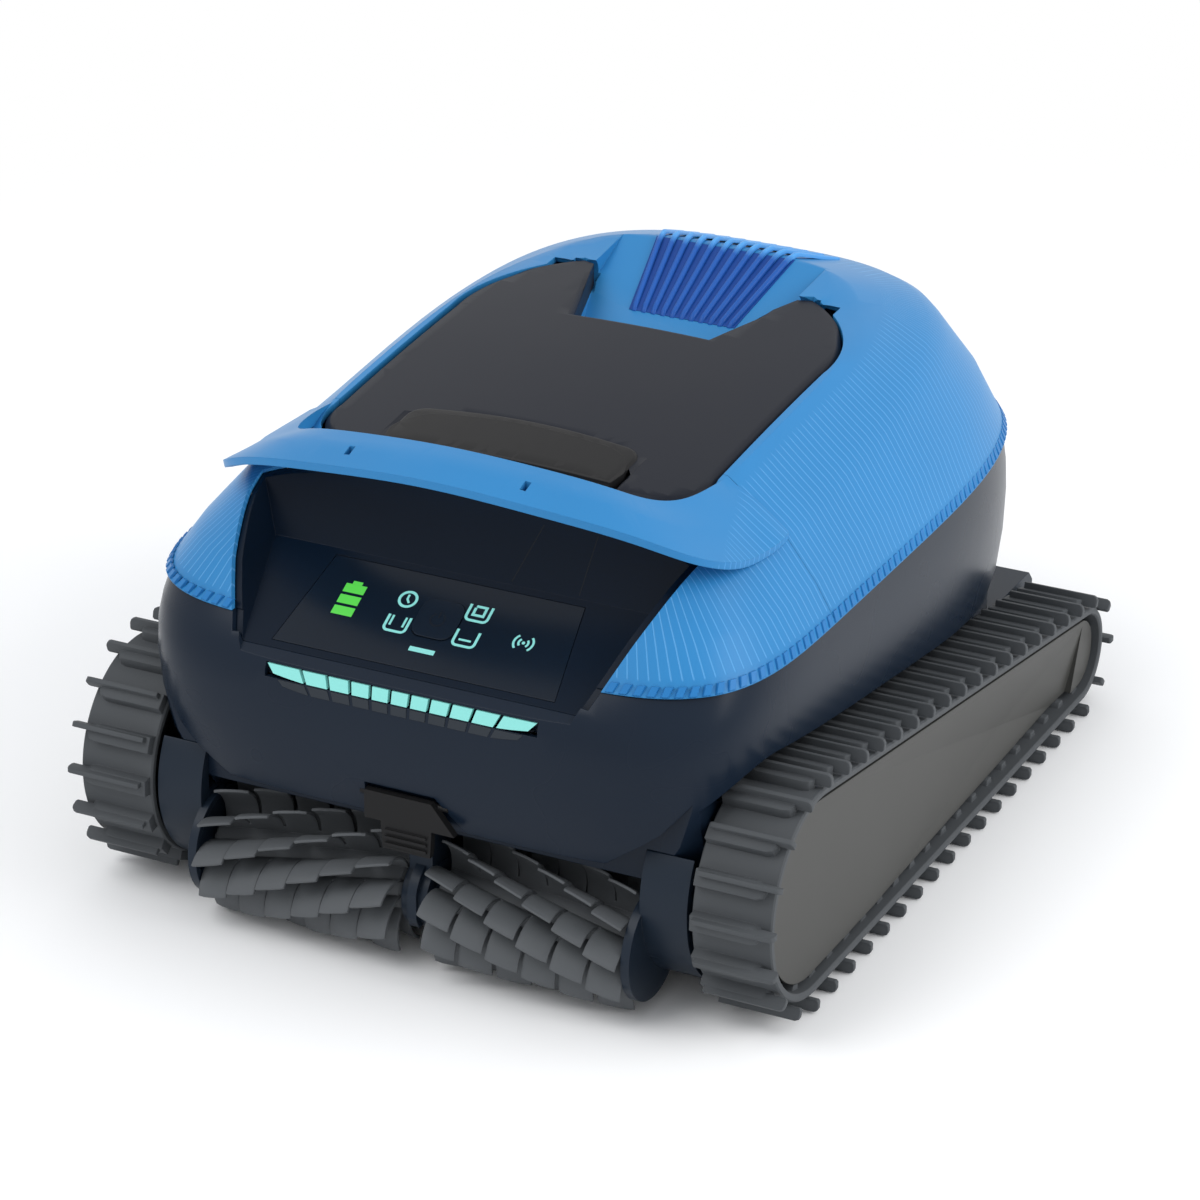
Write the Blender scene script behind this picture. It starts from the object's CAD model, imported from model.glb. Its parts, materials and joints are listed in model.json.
# %% [markdown]
# # A tracked pool cleaner, dressed around its construction model
#
# The construction model comes in first and is never moved. Every later cell adds one finish or one
# piece to it, always in metres and in the same frame: x to the right-hand track, -y to the front
# where the carrying bar is, z up, with the ground at z = 0.

import json
import math
import bmesh
import bpy
from mathutils import Matrix, Vector
from mathutils.bvhtree import BVHTree


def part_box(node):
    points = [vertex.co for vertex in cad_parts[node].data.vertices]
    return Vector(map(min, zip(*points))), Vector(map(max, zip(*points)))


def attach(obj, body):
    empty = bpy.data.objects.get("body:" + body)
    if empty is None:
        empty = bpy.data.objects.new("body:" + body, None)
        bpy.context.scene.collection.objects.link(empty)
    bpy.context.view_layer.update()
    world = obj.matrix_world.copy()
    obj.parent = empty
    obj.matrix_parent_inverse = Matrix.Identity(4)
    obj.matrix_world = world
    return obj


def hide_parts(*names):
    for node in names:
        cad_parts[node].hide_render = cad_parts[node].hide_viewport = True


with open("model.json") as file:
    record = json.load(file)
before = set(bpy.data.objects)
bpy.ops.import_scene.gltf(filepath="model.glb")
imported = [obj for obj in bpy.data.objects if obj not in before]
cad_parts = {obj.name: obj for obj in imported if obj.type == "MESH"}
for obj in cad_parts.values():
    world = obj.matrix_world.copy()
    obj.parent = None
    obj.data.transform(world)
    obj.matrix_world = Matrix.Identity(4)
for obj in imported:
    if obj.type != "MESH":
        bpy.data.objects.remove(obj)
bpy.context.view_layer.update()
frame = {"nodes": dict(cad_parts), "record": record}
nodes = frame["nodes"]
MM = 0.001

# %% [markdown]
# ## Two helpers for materials
#
# Colours are written as the hex values that a designer would pick on a screen, and one function turns
# them to the linear numbers that Blender mixes with. One more function adds a node, sets it up and
# links it, so that each material below reads as a short list of what it is made of.

# %% Colour and node helpers
def linear(hex_colour):
    """'#3f8cc9' to a linear RGBA tuple."""
    parts = [int(hex_colour[i:i + 2], 16) / 255 for i in (1, 3, 5)]
    return tuple(c / 12.92 if c <= 0.04045 else ((c + 0.055) / 1.055) ** 2.4 for c in parts) + (1.0,)


def add(tree, kind, inputs=None, **settings):
    """Add a node. inputs maps a socket's name or number to a value or to another node's output."""
    node = tree.nodes.new(kind)
    for key, value in settings.items():
        setattr(node, key, value)
    for key, value in (inputs or {}).items():
        if isinstance(value, bpy.types.NodeSocket):
            tree.links.new(value, node.inputs[key])
        else:
            node.inputs[key].default_value = value
    return node


def new_material(name, colour, roughness, **sockets):
    """A material with one principled shader; further sockets are set by name."""
    material = bpy.data.materials.new(name)
    material.use_nodes = True
    shader = material.node_tree.nodes["Principled BSDF"]
    shader.inputs["Base Color"].default_value = linear(colour)
    shader.inputs["Roughness"].default_value = roughness
    for key, value in sockets.items():
        shader.inputs[key.replace("_", " ")].default_value = value
    return material, material.node_tree, shader


# %% [markdown]
# ## Moulded plastic
#
# Most of the cleaner is injection-moulded ABS. Its tool leaves a fine spark-eroded grain, about 0.4 mm
# wide, and the gloss wanders a little over a large panel. Fine noise drives a bump, and a slow noise
# moves the colour and the roughness by a few percent. A single flat colour would look like paper.

# %% Moulded plastic finishes
PLASTIC_SHEEN, METAL_SHEEN = 0.18, 0.5      # moulded grain scatters most of what would be a mirror image
CELL_PER_GRAIN = 2.2                        # width of a noise cell that shows as one grain
CLOUDS = 14.0                               # scale of the slow noise, whose clouds are about 70 mm wide
GLOSS_DRIFT = 0.04                          # how far the roughness wanders to either side
LINE_DEPTH = 0.35 * MM


def tinted(colour, factor):
    """A hex colour made darker or lighter by a factor, as linear RGBA."""
    return tuple(min(1.0, c * factor) for c in linear(colour)[:3]) + (1.0,)


def moulded(name, colour, roughness, grain_mm=0.4, bump_mm=0.02, mottle=0.06, edge_mm=0.5, lines=None,
            line_colour=None, **sockets):
    """Injection-moulded plastic: colour, gloss, grain width and depth, and the soft radius of its edges.

    lines is a function that adds a line pattern to the tree; its lines are sunk and take line_colour.
    """
    sockets.setdefault("Specular_IOR_Level", METAL_SHEEN if sockets.get("Metallic") else PLASTIC_SHEEN)
    material, tree, shader = new_material(name, colour, roughness, **sockets)
    place = add(tree, "ShaderNodeTexCoord").outputs["Object"]
    fine = 1 / (grain_mm * MM * CELL_PER_GRAIN)
    grain = add(tree, "ShaderNodeTexNoise", {"Vector": place, "Scale": fine, "Detail": 2.0})
    slow = add(tree, "ShaderNodeTexNoise", {"Vector": place, "Scale": CLOUDS, "Detail": 2.0})
    tone = add(tree, "ShaderNodeMix", {0: slow.outputs["Fac"], 6: tinted(colour, 1 - mottle),
                                       7: tinted(colour, 1 + mottle)}, data_type="RGBA").outputs[2]
    gloss = add(tree, "ShaderNodeMapRange", {"Value": slow.outputs["Fac"],
                                             "To Min": roughness - GLOSS_DRIFT,
                                             "To Max": roughness + GLOSS_DRIFT})
    edge = add(tree, "ShaderNodeBevel", {"Radius": edge_mm * MM}, samples=4)
    bump = add(tree, "ShaderNodeBump", {"Height": grain.outputs["Fac"], "Strength": 0.35,
                                        "Distance": bump_mm * MM, "Normal": edge.outputs["Normal"]})
    normal = bump.outputs["Normal"]
    if lines is not None:
        drawn = lines(tree, place)
        tone = add(tree, "ShaderNodeMix", {0: drawn, 6: tone, 7: linear(line_colour)},
                   data_type="RGBA").outputs[2]
        normal = add(tree, "ShaderNodeBump", {"Height": drawn, "Strength": 0.5, "Distance": LINE_DEPTH,
                                              "Normal": normal}, invert=True).outputs["Normal"]
    tree.links.new(tone, shader.inputs["Base Color"])
    tree.links.new(gloss.outputs["Result"], shader.inputs["Roughness"])
    tree.links.new(normal, shader.inputs["Normal"])
    return material


# %% [markdown]
# ## Grooves of the blue shell
#
# The blue shells carry fine grooves, 4.7 mm apart, that cross the shoulder square to the outline and
# fan out round the corners. They could be cut as geometry, but they are only a few tenths of a
# millimetre deep, so the material draws and sinks them. One coordinate runs round a rounded
# rectangle: along the sides it is y, round a corner it is the turned angle times a radius, and across
# the front and the rear it is x. A line is drawn wherever that coordinate is a whole pitch. The lines
# start a little outside the lid, leave out the ramp of the vent and stop over the toothed band at the
# rim.

# %% Groove pattern
GROOVE_PITCH = 4.7 * MM
GROOVE_FLANK = (0.2 * MM, 0.42 * MM)               # a line fades out between these distances
GROOVE_CORNER = (72 * MM, 120 * MM, 78 * MM)       # corner centre in x and in y, and the radius there
GROOVE_SHARE = 0.6                                 # how much of the line's own colour shows
MIDDLE_Y = -10 * MM
CROWN_LONG, CROWN_WIDE = 2090.0, 1040.0            # radii of the lid's crown, in millimetres
CROWN_Y, CROWN_Z = 148.0, 247.6                    # its highest point
UNDER_CROWN = (3.0 * MM, 5.0 * MM)                 # the lines start so far below the crown
OVER_RIM = (171.5 * MM, 172.3 * MM)                # and stop at this height
RAMP_Y, RAMP_LONG, RAMP_WIDE = 80 * MM, 50 * MM, 60 * MM     # middle and half sizes of the vent's ramp


def calculator(tree):
    """Shorthand for math nodes of one tree."""
    def calculate(operation, first, second=0.0):
        return add(tree, "ShaderNodeMath", {0: first, 1: second}, operation=operation).outputs[0]
    return calculate


def ramp(tree, value, start, end, low=0.0, high=1.0):
    """Value mapped from start..end to low..high, held at both ends."""
    return add(tree, "ShaderNodeMapRange", {"Value": value, "From Min": start, "From Max": end,
                                            "To Min": low, "To Max": high}).outputs["Result"]


def outward_grooves(tree, place):
    """Strength of the groove pattern at a place on the shell."""
    sums = calculator(tree)
    corner_x, corner_y, corner_r = GROOVE_CORNER
    axes = add(tree, "ShaderNodeSeparateXYZ", {0: place}).outputs
    x = sums("ABSOLUTE", axes["X"])
    y = sums("ABSOLUTE", sums("SUBTRACT", axes["Y"], MIDDLE_Y))
    over_x, over_y = sums("SUBTRACT", x, corner_x), sums("SUBTRACT", y, corner_y)
    turned = sums("ARCTAN2", sums("MAXIMUM", over_y, 0.0), sums("MAXIMUM", over_x, 0.0001))
    run = sums("ADD", sums("MINIMUM", y, corner_y), sums("MULTIPLY", turned, corner_r))
    run = sums("SUBTRACT", run, sums("MINIMUM", over_x, 0.0))
    line = ramp(tree, sums("PINGPONG", run, GROOVE_PITCH / 2), *GROOVE_FLANK, 1.0, 0.0)
    back = sums("SUBTRACT", axes["Y"], CROWN_Y * MM)
    along = sums("DIVIDE", sums("MULTIPLY", back, back), 2 * CROWN_LONG * MM)
    across = sums("DIVIDE", sums("MULTIPLY", x, x), 2 * CROWN_WIDE * MM)
    top = sums("SUBTRACT", sums("SUBTRACT", CROWN_Z * MM, along), across)
    outside = ramp(tree, sums("SUBTRACT", top, axes["Z"]), *UNDER_CROWN)
    over_rim = ramp(tree, axes["Z"], *OVER_RIM)
    from_ramp_y = sums("SUBTRACT", sums("ABSOLUTE", sums("SUBTRACT", axes["Y"], RAMP_Y)), RAMP_LONG)
    off_ramp = ramp(tree, sums("MAXIMUM", sums("SUBTRACT", x, RAMP_WIDE), from_ramp_y), 0.0, 2.0 * MM)
    drawn = sums("MULTIPLY", sums("MULTIPLY", line, outside), sums("MULTIPLY", over_rim, off_ramp))
    return sums("MULTIPLY", drawn, GROOVE_SHARE)


# %% [markdown]
# ## A finish for every slot
#
# Every construction piece names the slot of its material. This table gives each slot a finish, so that
# pieces that are never redrawn, such as the basket, the motors and the battery inside, look right too.

# %% Finishes of the construction pieces
finishes = {
    # Satin ABS from a fine-grained mould: a wide, soft sheen that follows the curve.
    "body_navy": moulded("satin_abs_navy", "#131e2c", 0.28, Specular_IOR_Level=0.15),
    "shell_blue": moulded("satin_abs_blue", "#2f7db6", 0.34, lines=outward_grooves, line_colour="#5da2d8"),
    "vent_blue": moulded("satin_abs_royal_blue", "#2459ad", 0.38),
    "lid_grey": moulded("satin_abs_slate", "#1d2028", 0.42, Specular_IOR_Level=0.12),
    "housing_dark": moulded("satin_abs_midnight", "#0a1624", 0.3, Specular_IOR_Level=0.1),
    "cover_grey": moulded("satin_abs_graphite", "#40403e", 0.4),
    "frame_dark": moulded("satin_abs_dark_frame", "#1a2430", 0.35),
    # Matt ABS from a coarser mould: no highlight, so that the shape reads by its shading alone.
    "plate_black": moulded("matt_abs_black", "#1c1e21", 0.55),
    "grip_black": moulded("matt_abs_charcoal", "#1c1c1d", 0.4, Specular_IOR_Level=0.13),
    "duct_dark": moulded("matt_abs_duct", "#1e242c", 0.5),
    # Glossy panel and button, and a clear tinted window: small, sharp highlights.
    "panel_black": moulded("gloss_acrylic_black", "#0f1925", 0.2, bump_mm=0.004),
    "button_black": moulded("gloss_abs_black", "#101a26", 0.25),
    "light_cyan": moulded("light_window_mint", "#8fe3db", 0.3),
    # Moulded rubber: dull and slightly dusty, with a grain twice as wide as that of the plastics.
    "track_rubber": moulded("track_rubber_grey", "#4a4d50", 0.6, grain_mm=0.8, bump_mm=0.05),
    "brush_rubber": moulded("brush_rubber_grey", "#56595c", 0.55, grain_mm=0.8, bump_mm=0.05),
    # Plain soft rubber: dull black parts that hardly catch the light.
    "flap_rubber": moulded("flap_rubber_black", "#26262a", 0.6),
    "cap_rubber": moulded("cap_rubber_black", "#29292c", 0.6),
    # Nylon, PBT and acetal running parts: slightly waxy, with a dim highlight.
    "wheel_black": moulded("matt_nylon_black", "#1b1b1d", 0.5),
    "port_black": moulded("matt_nylon_socket", "#141416", 0.5),
    "motor_black": moulded("matt_pbt_black", "#161618", 0.5),
    "impeller_white": moulded("matt_acetal_white", "#c6c8cb", 0.4),
    # Basket and filter mesh inside: pale and dull, seen through the open lid.
    "basket_grey": moulded("matt_polypropylene_grey", "#6b7075", 0.5),
    "mesh_grey": moulded("woven_filter_mesh", "#b4b8bc", 0.7),
    # Turned steel shafts and the battery's shrink sleeve: the only bright highlights inside.
    "steel": moulded("turned_stainless_steel", "#b9bbbe", 0.28, Metallic=1.0),
    "battery_sleeve": moulded("pvc_shrink_sleeve_blue", "#293e6b", 0.3),
}
slot_of = {row["node"]: row["material_slot"] for row in frame["record"]["subparts"]}
for node_name, node in nodes.items():
    node.data.materials.clear()
    node.data.materials.append(finishes[slot_of[node_name]])
print("finishes on", len(nodes), "nodes")

# %% [markdown]
# ## Smooth copies of construction pieces
#
# The construction meshes are loose triangles. For a large moulded shell the copy is merged, shaded
# smooth and split only where two faces meet at a real edge, so that light runs over it as it does
# over polished tooling. The copy then stands for the piece it was taken from.

# %% Smooth copies
WELD = 0.002 * MM                     # corners nearer to each other than this become one
FLAT = math.radians(0.2)              # and so do faces that meet at less than this angle
body_of = {name: body for body, names in frame["record"]["behaviour"]["bodies"].items() for name in names}


def finish_piece(piece, body, slot_name, material, *replaced):
    """Give a piece its material, its slot, its body and the construction nodes that it stands for."""
    piece.data.materials.clear()
    piece.data.materials.append(material)
    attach(piece, body)
    if replaced:
        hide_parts(*replaced)
    return piece


def new_object(name, data):
    """Put a mesh, a lamp or a camera into the scene, at the origin."""
    made = bpy.data.objects.new(name, data)
    bpy.context.collection.objects.link(made)
    return made


def mesh_object(name, work):
    """Turn a bmesh into an object of the scene."""
    mesh = bpy.data.meshes.new(name)
    work.to_mesh(mesh)
    work.free()
    return new_object(name, mesh)


def shade_smooth(work):
    """Let light run over all the faces of a bmesh as over one surface."""
    for face in work.faces:
        face.smooth = True


def smooth_copy(node_name, sharp=32.0):
    """Merged, smooth-shaded copy of a construction node, which it then replaces."""
    work = bmesh.new()
    work.from_mesh(nodes[node_name].data)
    bmesh.ops.remove_doubles(work, verts=work.verts, dist=WELD)
    bmesh.ops.dissolve_limit(work, angle_limit=FLAT, verts=work.verts, edges=work.edges)
    shade_smooth(work)
    piece = mesh_object(node_name + "_skin", work)
    if "custom_normal" in piece.data.attributes:
        piece.data.attributes.remove(piece.data.attributes["custom_normal"])
    piece.data.set_sharp_from_angle(angle=math.radians(sharp))
    slot_name = slot_of[node_name]
    return finish_piece(piece, body_of[node_name], slot_name, finishes[slot_name], node_name)


skins = {name: smooth_copy(name) for name in (
    "lower_body", "top_shell", "front_shell", "control_housing", "lid", "lid_grip")}
for name in ("side_cover_left", "side_cover_right"):
    skins[name] = smooth_copy(name, 3.0)          # the four facets of a cover meet at flat angles
TIGHT_CORNER = Vector((71.0, 89.8, 245.4)) * MM     # where the wing of the opening lid passes the shell
CORNER_REACH, CORNER_EASE = 1.6 * MM, 0.8 * MM      # corners so near to it move so far back and down
for vert in skins["top_shell"].data.vertices:
    if (Vector((abs(vert.co.x), vert.co.y, vert.co.z)) - TIGHT_CORNER).length < CORNER_REACH:
        vert.co += Vector((0, CORNER_EASE, -CORNER_EASE))
print("smooth skins", {name: len(piece.data.polygons) for name, piece in skins.items()})

# %% [markdown]
# ## Chamfered crown of the lid and the grip
#
# The lid is a crowned plate, and its edge is broken by a chamfer about 2.5 mm wide that catches the
# light all round. A bevel would stumble over the long thin triangles of the construction mesh, so the
# chamfer is modelled: the flat-edged top of the copy is taken away, its border is sunk, and a new top
# grows from that border in narrow rings and then in a grid that follows the crown. Cutting a grid with
# planes keeps the surface even, whatever the outline. The grip's cap is made the same way.

# %% Chamfered top
LID_EDGE = [(0, 2.8), (0.25, 2.2), (2.1, 0.35), (2.6, 0)]      # (inset, drop) of the lid's chamfer
GRID = 9.0                                                     # a crowned top is cut every 9 mm
HINGE_Y, HINGE_FADE = 74.0, 16.0          # the chamfer runs out over the 16 mm before the hinge
LEAST_SHARE = 0.05
SHARP = math.radians(38)                  # edges that meet at more than this angle stay sharp


def crown(x, y):
    """Height of the lid's crown in millimetres."""
    along = CROWN_LONG - math.sqrt(CROWN_LONG ** 2 - (y - CROWN_Y) ** 2)
    return CROWN_Z - along - (CROWN_WIDE - math.sqrt(CROWN_WIDE ** 2 - x ** 2))


def wrap(work, rings):
    """Faces round a bmesh between each ring of corners and the next."""
    for first, second in zip(rings, rings[1:]):
        for i in range(len(first)):
            j = (i + 1) % len(first)
            work.faces.new((first[i], first[j], second[j], second[i]))


def border_loops(work, faces):
    """Loops of vertices round a set of faces, each in order."""
    inside = set(faces)
    after = {}
    for face in faces:
        for loop in face.loops:
            if not any(other in inside for other in loop.edge.link_faces if other is not face):
                after[loop.vert] = loop.link_loop_next.vert
    loops = []
    while after:
        ring = []
        vert = next(iter(after))
        while vert in after:
            ring.append(vert)
            vert = after.pop(vert)
        loops.append(ring)
    return loops


def inset(points, distance):
    """Closed counter-clockwise outline moved inwards."""
    moved = []
    for i, point in enumerate(points):
        first = (point - points[i - 1]).normalized()
        second = (points[(i + 1) % len(points)] - point).normalized()
        sides = [Vector((-way.y, way.x)) for way in (first, second)]
        middle_side = (sides[0] + sides[1]).normalized()
        moved.append(point + middle_side * distance / max(0.5, middle_side.dot(sides[0])))
    return moved


def everywhere(y):
    """Share of the chamfer that is kept at y, for a piece with nothing close to it."""
    return 1.0


def before_hinge(y):
    """Share of the chamfer that is kept at y: it runs out before the hinge, where the shell is close."""
    return min(1.0, max(LEAST_SHARE, (HINGE_Y - y) / HINGE_FADE))


def crowned_plate(outline, height, profile, closed=False, share=everywhere):
    """Plate over an outline, in rings of (inset, drop) and a fine grid that follows a crown; a bmesh."""
    plate = bmesh.new()
    rings = [[plate.verts.new((p.x, p.y, -drop)) for p in inset(outline, distance)]
             for distance, drop in profile]
    wrap(plate, rings)
    flats = [plate.faces.new(rings[-1])]
    if closed:
        flats.append(plate.faces.new(rings[0][::-1]))
    bmesh.ops.triangulate(plate, faces=flats)
    for axis in (0, 1):
        low, high = min(p[axis] for p in outline), max(p[axis] for p in outline)
        normal = Vector((1, 0, 0)) if axis == 0 else Vector((0, 1, 0))
        for i in range(1, int((high - low) / GRID) + 1):
            geometry = plate.verts[:] + plate.edges[:] + plate.faces[:]
            bmesh.ops.bisect_plane(plate, geom=geometry, dist=1e-4, plane_co=normal * (low + i * GRID),
                                   plane_no=normal)
    for vert in plate.verts:
        x, y, z = vert.co
        vert.co = (x * MM, y * MM, (height(x, y) + z * share(y)) * MM)
    bmesh.ops.dissolve_degenerate(plate, dist=1e-7, edges=plate.edges)
    shade_smooth(plate)
    if closed:
        bmesh.ops.recalc_face_normals(plate, faces=plate.faces)
    else:
        bmesh.ops.reverse_faces(plate, faces=[face for face in plate.faces if face.normal.z < 0])
    return plate


def soft_top(piece, height, profile, share):
    """Give a crowned plate a new top whose edge follows the (inset, drop) profile."""
    work = bmesh.new()
    work.from_mesh(piece.data)
    top = [face for face in work.faces if face.normal.z > 0.8 and all(
        abs(v.co.z / MM - height(v.co.x / MM, v.co.y / MM)) < 0.15 for v in face.verts)]
    loops = border_loops(work, top)
    border = max(loops, key=len)
    outline = [Vector((v.co.x / MM, v.co.y / MM)) for v in border]
    outline = [p for i, p in enumerate(outline) if (p - outline[i - 1]).length > 0.25]
    bmesh.ops.delete(work, geom=top, context="FACES_ONLY")
    for vert in border:
        vert.co.z -= profile[0][1] * share(vert.co.y / MM) * MM
    plate = crowned_plate(outline, height, profile, share=share)
    joined = bpy.data.meshes.new("plate")
    plate.to_mesh(joined)
    plate.free()
    work.from_mesh(joined)
    bpy.data.meshes.remove(joined)
    work.to_mesh(piece.data)
    work.free()
    piece.data.set_sharp_from_angle(angle=SHARP)
    return [len(loop) for loop in loops]


print("lid borders", soft_top(skins["lid"], crown, LID_EDGE, before_hinge))

# %% Cap of the grip
CAP_RISE = 1.2                             # height of the cap over the lid's crown
CAP_EDGE = [(0, 2.6), (0, 1.5), (0.25, 0.9), (1.2, 0.12), (1.8, 0)]


def arc(cx, cy, radius, start, end, count):
    """Points on an arc, angles in degrees."""
    turns = [math.radians(start + (end - start) * i / count) for i in range(count + 1)]
    return [(cx + radius * math.cos(a), cy + radius * math.sin(a)) for a in turns]


def cap_height(x, y):
    """Height of the cap's top in millimetres."""
    return crown(x, y) + CAP_RISE


half_cap = [(60.0, -124.6), (61.2, -114.0)] + arc(51.5, -101.0, 10.0, 0, 78, 8)     # from front to rear
back_edge = [(x, -87.6 - 3.4 * (x / 50) ** 2) for x in range(44, -45, -8)]
cap_plan = half_cap + back_edge + [(-x, y) for x, y in half_cap[::-1]]
cap_plate = crowned_plate([Vector(p) for p in cap_plan], cap_height, CAP_EDGE, closed=True)
cap = mesh_object("grip_cap", cap_plate)
cap.data.set_sharp_from_angle(angle=SHARP)
finish_piece(cap, "lid", "grip_black", finishes["grip_black"])
print("grip cap faces", len(cap.data.polygons))

# %% [markdown]
# ## Growing repeats with Geometry Nodes
#
# Cleats, lugs, vanes and teeth repeat one small shape many times. A node tree that takes the small
# shape as an input and sets copies of it out round a hub or along a line is shorter than a loop, and
# its count and sizes stay as named inputs. The helpers make a tree with its inputs, close it, and run
# it once to keep the result as a plain mesh.

# %% Tree helpers
def new_tree(name, **inputs):
    """A geometry tree with named inputs; each value is (socket type, default)."""
    tree = bpy.data.node_groups.new(name, "GeometryNodeTree")
    tree.interface.new_socket("Geometry", in_out="INPUT", socket_type="NodeSocketGeometry")
    for label, (kind, value) in inputs.items():
        socket = tree.interface.new_socket(label.replace("_", " "), in_out="INPUT",
                                           socket_type="NodeSocket" + kind)
        if value is not None:
            socket.default_value = value
    tree.interface.new_socket("Geometry", in_out="OUTPUT", socket_type="NodeSocketGeometry")
    return tree, tree.nodes.new("NodeGroupInput")


def close_tree(tree, geometry, material_socket):
    """End a tree: make the copies real, give them their material and send them out."""
    real = add(tree, "GeometryNodeRealizeInstances", {0: geometry})
    painted = add(tree, "GeometryNodeSetMaterial", {"Geometry": real.outputs[0],
                                                    "Material": material_socket})
    add(tree, "NodeGroupOutput", {0: painted.outputs[0]})


def grown(name, start, tree, **values):
    """Run a tree on an object with these input values; the result is a plain mesh object."""
    modifier = start.modifiers.new("grow", "NODES")
    modifier.node_group = tree
    sockets = tree.interface.items_tree
    identifiers = {item.name: item.identifier for item in sockets if item.in_out == "INPUT"}
    for label, value in values.items():
        modifier[identifiers[label.replace("_", " ")]] = value
    graph = bpy.context.evaluated_depsgraph_get()
    mesh = bpy.data.meshes.new_from_object(start.evaluated_get(graph), depsgraph=graph)
    start.modifiers.remove(modifier)
    bpy.data.objects.remove(start)
    return new_object(name, mesh)


def drop(*pieces):
    """Take helper objects out of the scene once their shape has been used."""
    for piece in pieces:
        bpy.data.objects.remove(piece)


def middle(node_name):
    """Centre of a construction node's box."""
    low, high = (Vector(corner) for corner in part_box(node_name))
    return (low + high) / 2


# %% [markdown]
# ## Roller brushes
#
# Each brush is one soft moulding: a hub with ten broad vanes that run round it in a helix. Every vane
# is slit from its tip almost to its root into six paddles with rounded tips. A paddle curls over
# towards its tip and springs a little out of line with the next. A vane is modelled as a grid over its
# length and height, with the slits left out and a thickness given afterwards; the ten copies come
# from a node tree.

# %% One vane
BRUSH_ROOT, BRUSH_TIP = 12.0 * MM, 32.4 * MM      # radii of a vane's root and tip
BRUSH_ENDS = (9.5 * MM, 113.0 * MM)               # x of the two ends of the right-hand roller
VANE_COUNT = 10
VANE_TWIST = math.radians(84)                     # turn of a vane from one end to the other
VANE_CURL = math.radians(26)                      # turn of its tip against its root
PADDLES = 6
COLUMNS = 6                                       # grid lines across one paddle
SPRING = 0.35                                     # share of the twist that a loose paddle springs back
TIP_ROUND = 0.03                                  # share of the height that a paddle's corners lose
SLIT = 1.1 * MM
SLIT_FOOT = 0.2                                   # share of the height where a slit ends


def vane_point(share, height, spin):
    """A point of the vane: share along the roller, height from root (0) to tip (1)."""
    paddle = (min(int(share * PADDLES), PADDLES - 1) + 0.5) / PADDLES
    loose = height * height * (3 - 2 * height)
    angle = VANE_TWIST * (share - SPRING * loose * (share - paddle)) + VANE_CURL * height ** 1.6
    aside = 2 * PADDLES * (share - paddle)                       # -1 to 1 across a paddle
    radius = BRUSH_ROOT + (BRUSH_TIP - BRUSH_ROOT) * height * (1 - TIP_ROUND * height * aside ** 4)
    x = BRUSH_ENDS[0] + (BRUSH_ENDS[1] - BRUSH_ENDS[0]) * share
    return Vector((x, radius * math.cos(spin * angle), radius * math.sin(spin * angle)))


def vane_mesh(spin):
    """Grid of one vane with its slits open, before it has a thickness."""
    work = bmesh.new()
    gap = SLIT / (BRUSH_ENDS[1] - BRUSH_ENDS[0]) / 2
    last = COLUMNS - 1
    shares = []
    for paddle in range(PADDLES):
        start, end = paddle / PADDLES, (paddle + 1) / PADDLES
        left = start + (gap if paddle else 0)
        right = end - (gap if paddle < PADDLES - 1 else 0)
        for i in range(COLUMNS):
            nudge = 1e-6 if i == 0 else -1e-6 if i == last else 0     # keeps a border inside its own paddle
            shares.append(left + (right - left) * i / last + nudge)
    heights = [0, SLIT_FOOT, 0.4, 0.58, 0.74, 0.88, 1.0]
    grid = [[work.verts.new(vane_point(s, h, spin)) for h in heights] for s in shares]
    for i in range(len(shares) - 1):
        for j in range(len(heights) - 1):
            in_slit = (i + 1) % COLUMNS == 0 and j >= 1
            if not in_slit:
                work.faces.new((grid[i][j], grid[i][j + 1], grid[i + 1][j + 1], grid[i + 1][j]))
    bmesh.ops.recalc_face_normals(work, faces=work.faces)
    shade_smooth(work)
    return work


# %% Ten vanes round the hub
VANE_THICK, VANE_SOFT = 1.5 * MM, 0.35 * MM        # thickness of a vane and width of its rounded edges
HUB, HUB_SOFT = 13.0 * MM, 1.2 * MM                # radius of the hub and its chamfer
BORE, BORE_DEEP = 5.1 * MM, 9.5 * MM               # radius and depth of the bearing bore at the inner end
STUB, STUB_LONG = 6.0 * MM, 8.8 * MM               # radius and length of the stub at the outer end
CHANNEL = 1.0 * MM                                 # radius of the channel that runs through
ring_tree, given = new_tree("ring_of_vanes", Vane=("Object", None), Count=("Int", VANE_COUNT),
                            Finish=("Material", None))
vane_shape = add(ring_tree, "GeometryNodeObjectInfo", {"Object": given.outputs["Vane"]})
points = add(ring_tree, "GeometryNodePoints", {"Count": given.outputs["Count"]})
number = add(ring_tree, "GeometryNodeInputIndex")
turn = add(ring_tree, "ShaderNodeMath", {0: math.tau, 1: given.outputs["Count"]}, operation="DIVIDE")
angle = add(ring_tree, "ShaderNodeMath", {0: number.outputs[0], 1: turn.outputs[0]}, operation="MULTIPLY")
spin_about_x = add(ring_tree, "ShaderNodeCombineXYZ", {"X": angle.outputs[0]})
copies = add(ring_tree, "GeometryNodeInstanceOnPoints", {"Points": points.outputs[0],
                                                         "Instance": vane_shape.outputs["Geometry"],
                                                         "Rotation": spin_about_x.outputs[0]})
both = add(ring_tree, "GeometryNodeJoinGeometry", {0: given.outputs["Geometry"]})
ring_tree.links.new(copies.outputs[0], both.inputs[0])
close_tree(ring_tree, both.outputs[0], given.outputs["Finish"])


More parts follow.
